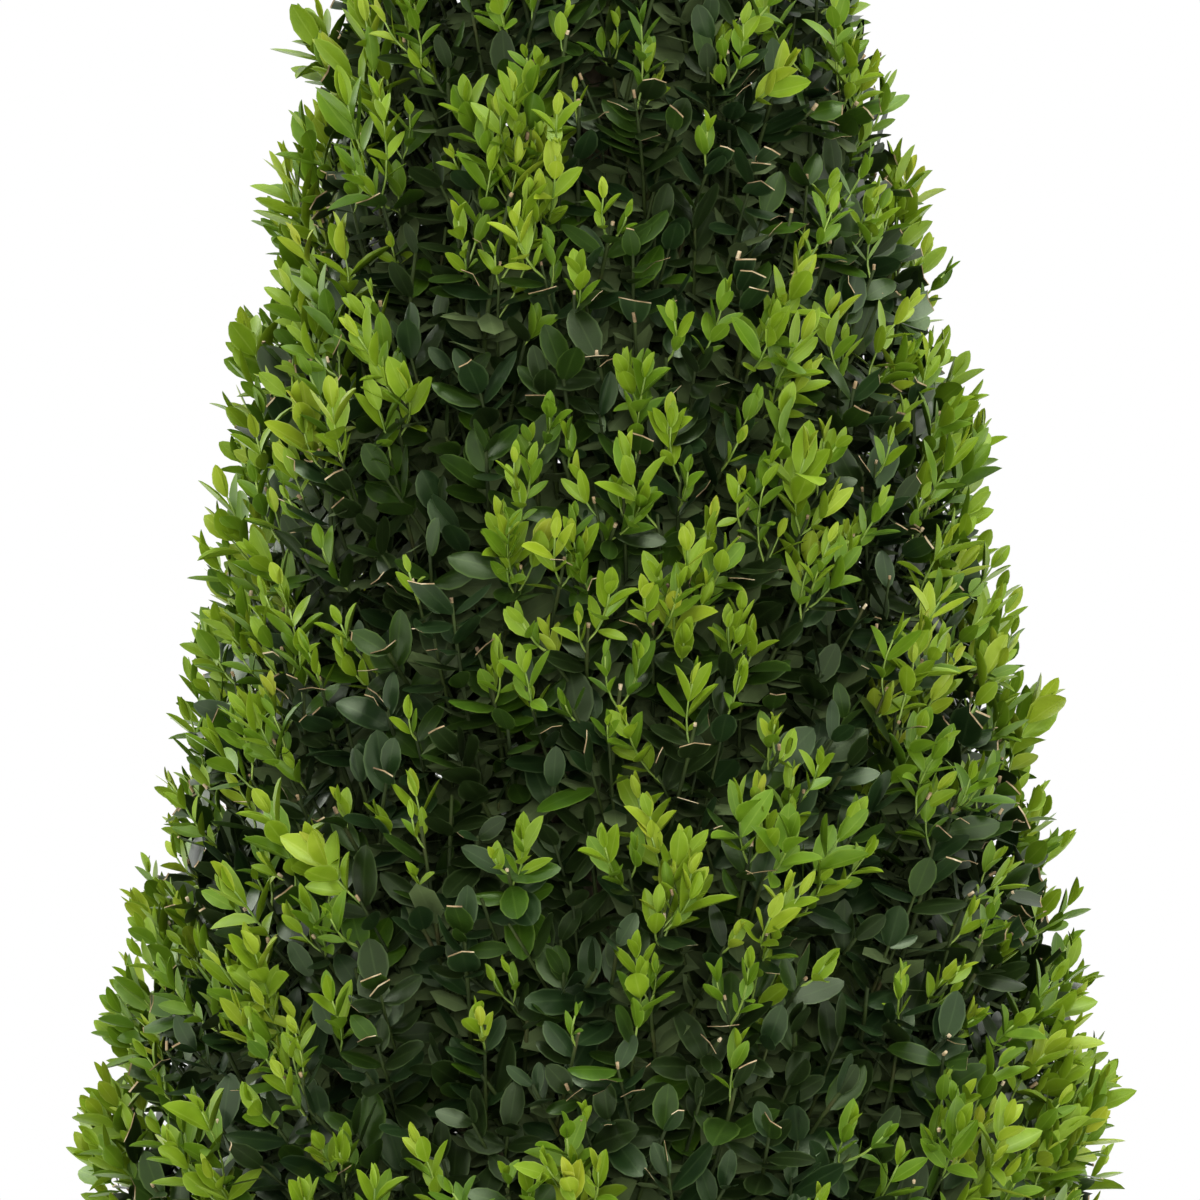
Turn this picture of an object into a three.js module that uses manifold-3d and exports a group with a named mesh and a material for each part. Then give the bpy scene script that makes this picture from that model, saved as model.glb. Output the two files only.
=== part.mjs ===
// A clipped boxwood cone, about a metre tall, rooted in the ground.
//
// One woody stem rises inside the crown. Twelve boughs leave it in three
// whorls, and each of them carries one mass of foliage. A thirteenth mass sits
// on the stem's own tip. Together the masses make a cone that has been sheared
// to an even face: each is a curved slab of packed growth, bare on the inside,
// with upright shoots and their paired leaves standing out of it all round.
//
// Millimetres, +Z up. The origin is the middle of the flat cut under the stem,
// at ground level.

import * as THREE from "three";
import { ConvexGeometry } from "three/addons/geometries/ConvexGeometry.js";
import { mergeVertices } from "three/addons/utils/BufferGeometryUtils.js";
import Module from "manifold-3d";

const wasm = await Module();
wasm.setup();

const { lerp, degToRad, seededRandom, clamp } = THREE.MathUtils;

// ---- Driving dimensions ------------------------------------------------------

// The crown's outline, out to the leaf tips.
const TIP_HEIGHT = 1045; // the topmost leaf tips
const APEX_HEIGHT = 1089; // where the faces would meet, if the tip weren't blunt
const TIP_ROUNDING = 60; // height over which they turn in at the tip
const FOOT_HEIGHT = 30; // the lowest leaves
const WIDEST_HEIGHT = 112; // where the crown is widest
const REACH = 203; // leaf tips to the axis at the widest
const BELLY = 1.05; // power of the taper: over 1 swells the faces a little
const FOOT_ROUNDING = 130; // height over which the face would turn right in below

// The packed growth that the shoots stand out of.
const LEAF_DEPTH = 56; // outline to packed growth
const SLIM_REACH = 140; // where the crown is slimmer, leaves and depth shrink
const SLIM_SHARE = 0.45; // down to this share of them at its tip
const CORE_LEAST = 4.5; // radius of the packed growth where it is slimmest
const HOLLOW_SHARE = 0.56; // bare inside, as a share of the packed growth's radius
const CORE_FOOT = 54; // underside of the lowest packed growth
const CORE_TOP = 996; // top of the highest
const CORE_RISE_STEP = 66; // height of one facet of it
const CORE_TURN_STEP = degToRad(15); // and its width
const CORE_UNEVENNESS = 2.5; // its face swells and sinks by this much
const SPACE_GAP = 0.6; // each mass keeps this far inside its own space

// The three whorls of boughs, from the ground up, and the mass at the tip.
const TOP_FROM = 745;
const WHORLS = [
  { name: "lower", from: CORE_FOOT, to: 258, count: 5, turn: 20, forkHeight: 42, boughRadius: 7.5 },
  { name: "middle", from: 258, to: 505, count: 4, turn: 62, forkHeight: 205, boughRadius: 6.5 },
  { name: "upper", from: 505, to: TOP_FROM, count: 3, turn: 5, forkHeight: 440, boughRadius: 5.5 },
];
const TOP_FACETS = 9;

// The stem.
const STEM_TOP = 772;
const STEM_RADIUS = 13.5; // just above the root flare
const STEM_TIP_RADIUS = 4.2;
const FLARE_RADIUS = 25; // at the ground
const FLARE_HEIGHT = 24; // the flare fades over about this height
const FLARE_LOBES = 5; // where the roots leave
const FLARE_LOBE_DEPTH = 0.16;
const STEM_LEAN = 9; // how far the tip stands off the origin's axis
const STEM_SWAY = 4; // how far the stem bends to and fro on the way
const STEM_SIDES = 15;
const STEM_STEPS = 10;
const STEM_STEP_CROWDING = 1.7; // over 1 sets the rings closer at the flare

// The boughs.
const BOUGH_TAPER = 0.62; // tip radius over root radius
const BOUGH_TIP_RISE = 0.36; // how far up its mass a bough enters
const BOUGH_TIP_BACK = 9; // short of the mass's inner face
const BOUGH_SIDES = 6;
const BOUGH_STEPS = 5;
const FORK_RISE = 0.62; // how far up its mass the fork of its twigs lies
const JOINT_GAP = 0.3; // between solids that meet

// The shoots and their leaves.
const SHOOT_SPACING = 78; // on the outline
const TIP_CROWDING = 1.7; // over 1 sets them closer still near the tip
const ROW_SPACING = 0.84 * SHOOT_SPACING;
const SHOOT_LENGTH = 28; // outside the packed growth
const SHOOT_SUNK = 17;
const SHOOT_RADIUS = 2.6;
const SHOOT_TIP_RADIUS = 1.8;
const SHOOT_SIDES = 3;
const SHOOT_STEPS = 3;
const SHOOT_VARIATION = 0.14; // of its length and place
const FOOT_LEAN = degToRad(58); // shoots lean out this far at the foot
const TIP_LEAN = degToRad(12); // and this far at the tip
const SHOOT_WANDER = degToRad(6);
const LEAF_LENGTH = 60;
const LEAF_WIDTH = 34;
const LEAF_FOLD = 2.4; // how far the edges stand above the midrib
const LEAF_ROLL = 0.8; // how far its face turns to the way out
const LEAF_FITTINGS = [1, 0.86, 0.74, 0.62]; // shares of its size tried, until it fits
const PAIR_TURN = degToRad(90); // of the lower pair, from the way out
const TURN_WANDER = degToRad(20);
const PAIRS = [
  { at: 0.93, spread: degToRad(60), size: 1 },
  { at: 0.99, spread: degToRad(22), size: 0.9 },
];

// ---- Outline of the crown ----------------------------------------------------

// Axis to leaf tips at a height.
function reach(z) {
  if (z < WIDEST_HEIGHT) {
    const turnedIn = (WIDEST_HEIGHT - z) / FOOT_ROUNDING;
    return REACH * Math.sqrt(1 - turnedIn ** 2);
  }
  const risen = (z - WIDEST_HEIGHT) / (APEX_HEIGHT - WIDEST_HEIGHT);
  const turnedIn = clamp(1 - (TIP_HEIGHT - z) / TIP_ROUNDING, 0, 1);
  return REACH * (1 - risen ** BELLY) * Math.sqrt(1 - turnedIn ** 2);
}

// Full size where the crown is stout, less towards its tip.
const slimness = (z) => lerp(SLIM_SHARE, 1, clamp(reach(z) / SLIM_REACH, 0, 1));
const coreRadius = (z) => Math.max(reach(z) - LEAF_DEPTH * slimness(z), CORE_LEAST);
const hollowRadius = (z) => HOLLOW_SHARE * coreRadius(z);
const leanAt = (z) => lerp(TIP_LEAN, FOOT_LEAN, (1 - z / TIP_HEIGHT) ** 2);

// The surface between two whorls: level in the packed growth, and rising
// outside it at the lean of the shoots there.
function borderHeight(z, radius) {
  return z + Math.max(0, radius - coreRadius(z)) / Math.tan(leanAt(z));
}

// ---- Geometry to solid and back ----------------------------------------------

function toSolid(geometry) {
  const bare = geometry.clone();
  bare.deleteAttribute("normal");
  bare.deleteAttribute("uv");
  const merged = mergeVertices(bare, 1e-3);
  const mesh = new wasm.Mesh({
    numProp: 3,
    vertProperties: merged.attributes.position.array,
    triVerts: new Uint32Array(merged.index.array),
  });
  return new wasm.Manifold(mesh);
}

function toGeometry(solid) {
  const { vertProperties, triVerts } = solid.getMesh();
  const geometry = new THREE.BufferGeometry();
  geometry.setAttribute("position", new THREE.BufferAttribute(vertProperties, 3));
  geometry.setIndex(new THREE.BufferAttribute(triVerts, 1));
  geometry.computeVertexNormals();
  return geometry;
}

// Solids joined into one body, without any scrap that came loose.
function fuse(solids) {
  const joined = solids.reduce((sum, next) => sum.add(next));
  return joined.decompose().sort((a, b) => b.volume() - a.volume())[0];
}

// Moves each vertex of a geometry to where place(point) puts it.
function reshape(geometry, place) {
  const position = geometry.attributes.position;
  for (let i = 0; i < position.count; i++) {
    const to = place(new THREE.Vector3().fromBufferAttribute(position, i));
    position.setXYZ(i, to.x, to.y, to.z);
  }
  return geometry;
}

const polar = (radius, angle, z) =>
  new THREE.Vector3(radius * Math.cos(angle), radius * Math.sin(angle), z);

// ---- Stem --------------------------------------------------------------------

function stemCentre(z) {
  const share = z / STEM_TOP;
  const sway = STEM_SWAY * Math.sin(2 * Math.PI * share) * share;
  return new THREE.Vector3(STEM_LEAN * share ** 2, sway, z);
}

function stemRadius(z, angle) {
  const flare = Math.exp(-z / FLARE_HEIGHT);
  const lobes = 1 + FLARE_LOBE_DEPTH * flare * Math.cos(FLARE_LOBES * angle);
  const taper = lerp(STEM_RADIUS, STEM_TIP_RADIUS, z / STEM_TOP);
  return (taper + (FLARE_RADIUS - STEM_RADIUS) * flare) * lobes;
}

// A cylinder whose level rings are moved and widened. grown swells it, for
// cutting clear what stands round it.
function stemShape(grown = 0) {
  const cylinder = new THREE.CylinderGeometry(1, 1, 1, STEM_SIDES, STEM_STEPS);
  return reshape(cylinder.rotateX(Math.PI / 2), (point) => {
    const z = STEM_TOP * (point.z + 0.5) ** STEM_STEP_CROWDING;
    const angle = Math.atan2(point.y, point.x);
    const radius = Math.hypot(point.x, point.y) * (stemRadius(z, angle) + grown);
    return polar(radius, angle, z + grown * Math.sign(point.z)).add(stemCentre(z).setZ(0));
  });
}

// ---- Limbs -------------------------------------------------------------------

// A tapering limb: a cylinder, or a cone, laid along a curve.
function limbShape(curve, rootRadius, tipRadius, sides, steps) {
  const cylinder = new THREE.CylinderGeometry(tipRadius > 0 ? 1 : 0, 1, 1, sides, steps);
  const frames = curve.computeFrenetFrames(steps);
  return reshape(cylinder, (point) => {
    const step = Math.round((point.y + 0.5) * steps);
    const isRim = Math.hypot(point.x, point.z) > 0;
    const angle = Math.atan2(point.z, point.x);
    const radius = isRim ? lerp(rootRadius, tipRadius, step / steps) : 0;
    return curve
      .getPointAt(step / steps)
      .addScaledVector(frames.normals[step], radius * Math.cos(angle))
      .addScaledVector(frames.binormals[step], -radius * Math.sin(angle));
  });
}

// A bough in its own group, where it points along +X: from the middle of the
// stem, out and up to just inside its mass.
function boughCurve(whorl, bearing) {
  const axis = new THREE.Vector3(0, 0, 1);
  const root = stemCentre(whorl.forkHeight).applyAxisAngle(axis, -bearing);
  const tipHeight = lerp(whorl.from, whorl.to, BOUGH_TIP_RISE);
  const tip = new THREE.Vector3(hollowRadius(tipHeight) - BOUGH_TIP_BACK, 0, tipHeight);
  const between = (out, up) =>
    new THREE.Vector3(lerp(root.x, tip.x, out), lerp(root.y, tip.y, out), lerp(root.z, tip.z, up));
  return new THREE.CubicBezierCurve3(root, between(0.36, 0.2), between(0.84, 0.6), tip);
}

// ---- Packed growth -----------------------------------------------------------

// How far the packed growth swells out, in waves round the crown and up it.
const swell = (angle, z) =>
  CORE_UNEVENNESS * Math.sin(11 * angle + z / 23) * Math.cos(4 * angle - z / 15);

// A box bent to a sector of the crown.
function slabShape(space) {
  const turns = Math.ceil((2 * space.halfAngle) / CORE_TURN_STEP);
  const rises = Math.ceil((space.to - space.from) / CORE_RISE_STEP);
  return reshape(new THREE.BoxGeometry(1, 1, 1, 1, turns, rises), (point) => {
    const z = lerp(space.from + SPACE_GAP, space.to - SPACE_GAP, point.z + 0.5);
    const angle = 2 * point.y * (space.halfAngle - space.sliver);
    const radius = point.x > 0 ? coreRadius(z) + swell(angle, z) : hollowRadius(z);
    return polar(radius, angle, z);
  });
}

// A small cone for the mass at the tip.
function topCoreShape() {
  const rises = Math.ceil((CORE_TOP - TOP_FROM) / CORE_RISE_STEP);
  const profile = [new THREE.Vector2(0, TOP_FROM + SPACE_GAP)];
  for (let i = 0; i <= rises; i++) {
    const z = lerp(TOP_FROM + SPACE_GAP, CORE_TOP, i / rises);
    profile.push(new THREE.Vector2(coreRadius(z), z));
  }
  profile.push(new THREE.Vector2(0, CORE_TOP));
  return new THREE.LatheGeometry(profile, TOP_FACETS).rotateX(Math.PI / 2);
}

// ---- Shoots and leaves -------------------------------------------------------

// A number from -1 to 1, the same ones in each run.
const chance = () => 2 * seededRandom() - 1;

// Whether a point keeps to its mass's own space.
function keepsTo(space, point) {
  const radius = Math.hypot(point.x, point.y);
  const angle = Math.abs(Math.atan2(point.y, point.x));
  const low = space.isFoot ? FOOT_HEIGHT : borderHeight(space.from, radius) + SPACE_GAP;
  const high = space.isTip ? TIP_HEIGHT : borderHeight(space.to, radius) - SPACE_GAP;
  const inSector = space.isTip || angle < space.halfAngle - space.sliver;
  return inSector && point.z > low && point.z < high && radius < reach(point.z) + SPACE_GAP;
}

// One leaf, its foot at the origin, lying along +X with its upper face to +Z:
// six points round the edge, with foot and tip lower than the sides.
function leafShape(size) {
  const length = size * LEAF_LENGTH;
  const edge = (x, y, z) => new THREE.Vector3(x * length, (y * size * LEAF_WIDTH) / 2, z);
  return new ConvexGeometry([
    edge(0, 0, 0),
    edge(0.32, 1, LEAF_FOLD),
    edge(0.32, -1, LEAF_FOLD),
    edge(0.72, 0.84, LEAF_FOLD),
    edge(0.72, -0.84, LEAF_FOLD),
    edge(1, 0, 0),
  ]);
}

// A leaf on a shoot: its foot in the middle of the shoot, spread from the
// shoot's line, turned round it from the way out of the crown, and rolled so
// that its face looks out.
function placedLeaf(foot, along, outward, turn, spread, size) {
  const level = outward.clone().projectOnPlane(along).normalize();
  const away = level.applyAxisAngle(along, turn);
  const blade = along
    .clone()
    .multiplyScalar(Math.cos(spread))
    .addScaledVector(away, Math.sin(spread));
  const upper = along.clone().projectOnPlane(blade).normalize();
  const lookingOut = outward.clone().projectOnPlane(blade).normalize();
  const side = Math.sign(lookingOut.dot(upper));
  const face = upper.lerp(lookingOut.multiplyScalar(side), LEAF_ROLL).normalize();
  const across = new THREE.Vector3().crossVectors(face, blade);
  const place = new THREE.Matrix4().makeBasis(blade, across, face).setPosition(foot);
  return leafShape(size).applyMatrix4(place);
}

const pointsOf = (geometry) =>
  Array.from({ length: geometry.attributes.position.count }, (_, i) =>
    new THREE.Vector3().fromBufferAttribute(geometry.attributes.position, i),
  );

// Adds one shoot to a mass. It runs from the mass's fork to under the face, turns
// up there and bears its leaves in pairs, each pair square to the last. A leaf
// keeps to the mass's space and clear of what has grown already, smaller if need
// be, or is left out.
function growShoot(mass, angle, z, lean) {
  const outward = polar(1, angle, 0);
  const sway = Math.sin(SHOOT_WANDER) * chance();
  const along = polar(Math.sin(lean), angle, Math.cos(lean))
    .add(polar(sway, angle + Math.PI / 2, 0))
    .normalize();
  const slim = slimness(z);
  const length = SHOOT_LENGTH * Math.sqrt(slim) * (1 + SHOOT_VARIATION * chance());
  const startTurn = PAIR_TURN + TURN_WANDER * chance();
  const leave = polar(coreRadius(z), angle, z);
  const heel = leave.clone().addScaledVector(along, -SHOOT_SUNK * slim);
  const tip = leave.clone().addScaledVector(along, length);
  if (!keepsTo(mass.space, tip)) return;

  const line = new THREE.QuadraticBezierCurve3(mass.fork, heel, tip);
  const limb = limbShape(line, SHOOT_RADIUS, SHOOT_TIP_RADIUS, SHOOT_SIDES, SHOOT_STEPS);
  mass.twigs.push(toSolid(limb));
  PAIRS.forEach((pair, level) => {
    const foot = line.getPoint(pair.at);
    const upward = line.getTangent(pair.at);
    const sizes = LEAF_FITTINGS.map((share) => share * pair.size * Math.sqrt(slim));
    for (const side of [0, 1]) {
      const turn = startTurn + (level / 2 + side) * Math.PI;
      const leaf = sizes
        .map((size) => placedLeaf(foot, upward, outward, turn, pair.spread * slim, size))
        .filter((shape) => pointsOf(shape).every((point) => keepsTo(mass.space, point)))
        .map(toSolid)
        .find((solid) => mass.grown.intersect(solid).isEmpty());
      if (leaf) mass.grown = mass.grown.add(leaf);
    }
  });
}

// Shoots in staggered rows over the face of a mass.
function growShoots(mass) {
  const { from, to, halfAngle } = mass.space;
  const rows = Math.round((to - from) / ROW_SPACING);
  for (let row = 0; row < rows; row++) {
    const z = lerp(from, to, (row + 0.5) / rows);
    const spacing = SHOOT_SPACING * slimness(z) ** TIP_CROWDING;
    const columns = Math.round((2 * halfAngle * reach(z)) / spacing);
    for (let column = 0; column < columns; column++) {
      const stagger = row % 2 ? 0.25 : -0.25;
      const share = (column + 0.5 + stagger + SHOOT_VARIATION * chance()) / columns;
      const height = z + SHOOT_VARIATION * ROW_SPACING * chance();
      const lean = leanAt(z) + SHOOT_WANDER * chance();
      growShoot(mass, lerp(-halfAngle, halfAngle, share), height, lean);
    }
  }
}

// ---- Assembly ----------------------------------------------------------------

const bark = new THREE.MeshStandardMaterial({ color: 0x6e6248, roughness: 0.9, metalness: 0 });
const leafGreen = new THREE.MeshStandardMaterial({ color: 0x4f7422, roughness: 0.5, metalness: 0 });

function addNode(group, name, geometry, material) {
  const node = new THREE.Mesh(geometry, material);
  node.name = name;
  group.add(node);
}

const topiary = new THREE.Group();
topiary.name = "boxwood_cone";
addNode(topiary, "stem", toGeometry(toSolid(stemShape())), bark);

WHORLS.forEach((whorl, level) => {
  for (let member = 0; member < whorl.count; member++) {
    const bearing = degToRad(whorl.turn) + (member * 2 * Math.PI) / whorl.count;
    const space = {
      from: whorl.from,
      to: whorl.to,
      halfAngle: Math.PI / whorl.count,
      sliver: SPACE_GAP / hollowRadius(whorl.to),
      isFoot: level === 0,
      isTip: false,
    };
    seededRandom(1 + level * 10 + member);

    const line = boughCurve(whorl, bearing);
    const tipRadius = whorl.boughRadius * BOUGH_TAPER;
    const bough = toSolid(limbShape(line, whorl.boughRadius, tipRadius, BOUGH_SIDES, BOUGH_STEPS));
    const stem = toSolid(stemShape(JOINT_GAP).rotateZ(-bearing));

    const forkHeight = lerp(space.from, space.to, FORK_RISE);
    const fork = polar((hollowRadius(forkHeight) + coreRadius(forkHeight)) / 2, 0, forkHeight);
    const onward = line.getTangent(1);
    const start = line.getPoint(1).addScaledVector(onward, JOINT_GAP);
    const bend = start.clone().addScaledVector(onward, start.distanceTo(fork) / 2);
    const massLine = new THREE.QuadraticBezierCurve3(start, bend, fork);
    const massStem = limbShape(massLine, tipRadius, tipRadius * BOUGH_TAPER, BOUGH_SIDES, 2);

    const branch = new THREE.Group();
    branch.rotation.z = bearing;
    topiary.add(branch);
    const label = `${whorl.name}_${member + 1}`;
    addNode(branch, `bough_${label}`, toGeometry(fuse([bough.subtract(stem)])), bark);
    const mass = { space, fork, grown: toSolid(slabShape(space)), twigs: [toSolid(massStem)] };
    growShoots(mass);
    addNode(branch, `foliage_${label}`, toGeometry(fuse([mass.grown, ...mass.twigs])), leafGreen);
  }
});

// The mass at the tip sits on the stem, which ends in a socket of it. Its
// leading shoot makes the point of the cone.
seededRandom(99);
const topMass = {
  space: { from: TOP_FROM, to: CORE_TOP, halfAngle: Math.PI, isFoot: false, isTip: true },
  fork: new THREE.Vector3(0, 0, lerp(STEM_TOP, CORE_TOP, 0.5)),
  grown: toSolid(topCoreShape()).subtract(toSolid(stemShape(JOINT_GAP))),
  twigs: [],
};
growShoots(topMass);
growShoot(topMass, 0, CORE_TOP, 0);
addNode(topiary, "foliage_top", toGeometry(fuse([topMass.grown, ...topMass.twigs])), leafGreen);

export default topiary;
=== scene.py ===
# A clipped boxwood cone, about a metre tall and rooted in the ground.
#
# One woody stem rises inside the crown and twelve boughs leave it in three
# whorls. Each bough carries a share of the foliage, and the stem's tip carries
# the last. The crown has been sheared to an even cone, and new growth has come
# out of the sheared face since. Lengths are in millimetres until a mesh is made.

import math

import bpy
import mathutils
import mathutils.kdtree
import numpy as np
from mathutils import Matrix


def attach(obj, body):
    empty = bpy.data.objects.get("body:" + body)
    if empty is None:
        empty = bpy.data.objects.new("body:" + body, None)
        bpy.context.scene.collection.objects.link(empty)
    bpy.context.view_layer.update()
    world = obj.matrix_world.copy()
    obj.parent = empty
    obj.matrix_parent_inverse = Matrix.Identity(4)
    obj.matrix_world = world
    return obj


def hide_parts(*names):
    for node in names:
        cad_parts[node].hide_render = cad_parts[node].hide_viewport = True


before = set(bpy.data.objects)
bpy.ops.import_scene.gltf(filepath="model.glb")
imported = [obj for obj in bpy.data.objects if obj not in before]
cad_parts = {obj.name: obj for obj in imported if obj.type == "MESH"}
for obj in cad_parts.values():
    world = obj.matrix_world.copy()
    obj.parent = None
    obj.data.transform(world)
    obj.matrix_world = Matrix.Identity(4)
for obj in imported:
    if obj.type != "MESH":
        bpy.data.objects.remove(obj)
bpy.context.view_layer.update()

# ---- The plant's outline -------------------------------------------------------
# The leaf tips of a sheared boxwood make a tall cone with a slightly swollen
# face, a blunt tip and a foot that turns in above the ground. The same sizes
# give the solids their shape.

tip_height = 1045
apex_height = 1089
tip_rounding = 60
widest_height = 112
reach_at_widest = 203
belly = 1.05
foot_rounding = 130
foot_height = 30
foot_lean = math.radians(58)
tip_lean = math.radians(12)


def reach(z):
    risen = np.clip((z - widest_height) / (apex_height - widest_height), 0, 1)
    at_tip = np.clip(1 - (tip_height - z) / tip_rounding, 0, 1)
    at_foot = np.clip((widest_height - z) / foot_rounding, 0, 0.97)
    return (
        reach_at_widest
        * (1 - risen**belly)
        * np.sqrt(1 - at_tip**2)
        * np.sqrt(1 - at_foot**2)
    )


def lean_at(z):
    return tip_lean + (foot_lean - tip_lean) * (1 - np.clip(z / tip_height, 0, 1)) ** 2


# ---- The stem ------------------------------------------------------------------
# A boxwood's single trunk: hard, slow-grown wood under thin grey-tan bark that
# cracks into small plates. It flares where the roots leave and is cut flat at
# the ground, and it tapers and sways a little up to the mass at the tip.

stem_top = 772
stem_radius = 13.5
stem_tip_radius = 4.2
flare_radius = 25
flare_height = 24
flare_lobes = 5
flare_lobe_depth = 0.16
stem_lean = 9
stem_sway = 4
bark_relief = 0.9
bark_plate_length = 21
bark_plate_width = 6.5


def stem_centre(z):
    share = np.asarray(z) / stem_top
    sway = stem_sway * np.sin(2 * np.pi * share) * share
    return np.stack([stem_lean * share**2, sway, np.asarray(z, float)], axis=-1)


def stem_radius_at(z, angle):
    flare = np.exp(-z / flare_height)
    lobes = 1 + flare_lobe_depth * flare * np.cos(flare_lobes * angle)
    taper = stem_radius + (stem_tip_radius - stem_radius) * z / stem_top
    return (taper + (flare_radius - stem_radius) * flare) * lobes


def linear(hexcode):
    """An sRGB hex colour as linear red, green, blue and alpha."""
    srgb = [int(hexcode[i : i + 2], 16) / 255 for i in (1, 3, 5)]
    return [c / 12.92 if c <= 0.04045 else ((c + 0.055) / 1.055) ** 2.4 for c in srgb] + [1.0]


def add_node(tree, kind, links=(), **settings):
    """Adds a node. Settings that name an input set it, the rest set the node;
    links are (input, output socket) pairs."""
    made = tree.nodes.new(kind)
    for name, value in settings.items():
        label = name.replace("_", " ").lower()
        socket = next((s for s in made.inputs if s.name.lower() == label and s.enabled), None)
        if socket is not None:
            socket.default_value = value
        else:
            setattr(made, name, value)
    for name, output in links:
        tree.links.new(made.inputs[name], output)
    return made


def new_material(name):
    material = bpy.data.materials.new(name)
    material.use_nodes = True
    tree = material.node_tree
    shader = next(n for n in tree.nodes if n.type == "BSDF_PRINCIPLED")
    return material, tree, shader


def set_ramp(ramp_node, *stops):
    """Sets a Color Ramp's stops, each a place and a hex colour."""
    elements = ramp_node.color_ramp.elements
    while len(elements) < len(stops):
        elements.new(0.5)
    for element, (place, colour) in zip(elements, stops):
        element.position = place
        element.color = linear(colour)


def mesh_piece(name, points, corners, sides, material, uv=None, smooth=True):
    """A mesh object from points in millimetres, the point numbers of all face
    corners in a row, and the number of sides of each face."""
    mesh = bpy.data.meshes.new(name)
    mesh.vertices.add(len(points))
    mesh.vertices.foreach_set("co", (np.asarray(points) / 1000).astype(np.float32).ravel())
    mesh.loops.add(len(corners))
    mesh.loops.foreach_set("vertex_index", np.asarray(corners, np.int32))
    mesh.polygons.add(len(sides))
    starts = np.concatenate([[0], np.cumsum(sides)[:-1]]).astype(np.int32)
    mesh.polygons.foreach_set("loop_start", starts)
    mesh.polygons.foreach_set("use_smooth", np.full(len(sides), smooth))
    if uv is not None:
        layer = mesh.uv_layers.new(name="blade")
        layer.uv.foreach_set("vector", np.asarray(uv, np.float32)[corners].ravel())
    mesh.update(calc_edges=True)
    mesh.validate()
    mesh.materials.append(material)
    piece = bpy.data.objects.new(name, mesh)
    bpy.context.scene.collection.objects.link(piece)
    return piece


def tube_faces(rings, sides):
    """Quads between rings of points, then one face that closes the last ring."""
    ring, side = np.meshgrid(np.arange(rings - 1), np.arange(sides), indexing="ij")
    after = (side + 1) % sides
    quads = [ring * sides + side, ring * sides + after]
    quads += [(ring + 1) * sides + after, (ring + 1) * sides + side]
    corners = np.stack(quads, axis=-1).reshape(-1)
    cap = (rings - 1) * sides + np.arange(sides)
    counts = np.concatenate([np.full((rings - 1) * sides, 4), [sides]])
    return np.concatenate([corners, cap]), counts


def relief(along, around, seed):
    """Bark relief from 0 to 1: long plates parted by cracks that wander."""
    dice = np.random.default_rng(seed)
    height = np.zeros(np.broadcast(along, around).shape)
    for octave in range(4):
        pitch = 2.0**octave
        turn, shift, sway = dice.uniform(0, 2 * np.pi, 3)
        wander = np.sin(along / bark_plate_length * pitch * 2.1 + turn) * 1.3
        ridges = np.sin(around / bark_plate_width * pitch * 2 * np.pi + wander + shift)
        steps = np.sin(along / bark_plate_length * pitch * 2 * np.pi + ridges * 1.7 + sway)
        height += (np.abs(ridges) * 0.7 + np.abs(steps) * 0.3) / pitch
    return height / height.max()


# Bark of an old boxwood: dry, matt cork, greyer on the plates and browner in
# the cracks. The darker brown in the cracks is partly their own colour and
# partly painted shade, as the cracks catch no light.
bark, tree, shader = new_material("boxwood_bark")
coords = add_node(tree, "ShaderNodeTexCoord")
plates = add_node(
    tree, "ShaderNodeTexNoise", [("Vector", coords.outputs["Object"])], scale=160, detail=6
)
# Low noise gives both the cracks' depth and their darker brown: partly bark colour, partly painted
# shade.
tone = add_node(tree, "ShaderNodeValToRGB", [("Fac", plates.outputs["Fac"])])
set_ramp(tone, (0.3, "#4a3d2c"), (0.55, "#83755c"), (0.75, "#a1957c"))
tree.links.new(shader.inputs["Base Color"], tone.outputs["Color"])
cracks = add_node(
    tree,
    "ShaderNodeBump",
    [("Height", plates.outputs["Fac"])],
    strength=0.6,
    distance=0.0008,
)
tree.links.new(shader.inputs["Normal"], cracks.outputs["Normal"])
shader.inputs["Roughness"].default_value = 0.88

stem_sides = 64
stem_rings = 150
rise = stem_top * np.linspace(0, 1, stem_rings)[:, None] ** 1.25
turn = 2 * np.pi * np.arange(stem_sides)[None, :] / stem_sides
radius = stem_radius_at(rise, turn)
radius = radius - bark_relief * (1 - relief(rise, turn * stem_radius, 3))
centre = stem_centre(rise[:, 0])[:, None, :]
wall = np.stack([radius * np.cos(turn), radius * np.sin(turn), np.zeros_like(radius)], axis=-1)
wall = wall + centre
corners, sides = tube_faces(stem_rings, stem_sides)
foot_ring = np.arange(stem_sides)[::-1]
corners = np.concatenate([corners, foot_ring])
sides = np.concatenate([sides, [stem_sides]])
stem = mesh_piece("stem_with_bark", wall.reshape(-1, 3), corners, sides, bark)
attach(stem, "root")
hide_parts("stem")

# ---- The boughs ----------------------------------------------------------------
# Twelve limbs of the same wood and bark in three whorls. Each leaves the stem,
# runs out and up, and ends where it enters its mass of foliage.

core_foot = 54
top_from = 745
core_top = 996
whorls = [
    dict(name="lower", low=core_foot, high=258, count=5, turn=20, fork=42, radius=7.5),
    dict(name="middle", low=258, high=505, count=4, turn=62, fork=205, radius=6.5),
    dict(name="upper", low=505, high=top_from, count=3, turn=5, fork=440, radius=5.5),
]
leaf_depth = 56
slim_reach = 140
slim_share = 0.45
hollow_share = 0.56
core_least = 4.5
bough_taper = 0.62
bough_tip_rise = 0.36
bough_tip_back = 9
bough_sides = 20
bough_rings = 34


def slimness(z):
    return slim_share + (1 - slim_share) * np.clip(reach(z) / slim_reach, 0, 1)


def core_radius(z):
    return np.maximum(reach(z) - leaf_depth * slimness(z), core_least)


def polar(distance, angle, z):
    distance, angle, z = np.broadcast_arrays(distance, angle, z)
    return np.stack([distance * np.cos(angle), distance * np.sin(angle), z], axis=-1).astype(float)


def unit(v):
    return v / np.maximum(np.linalg.norm(v, axis=-1, keepdims=True), 1e-9)


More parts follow.
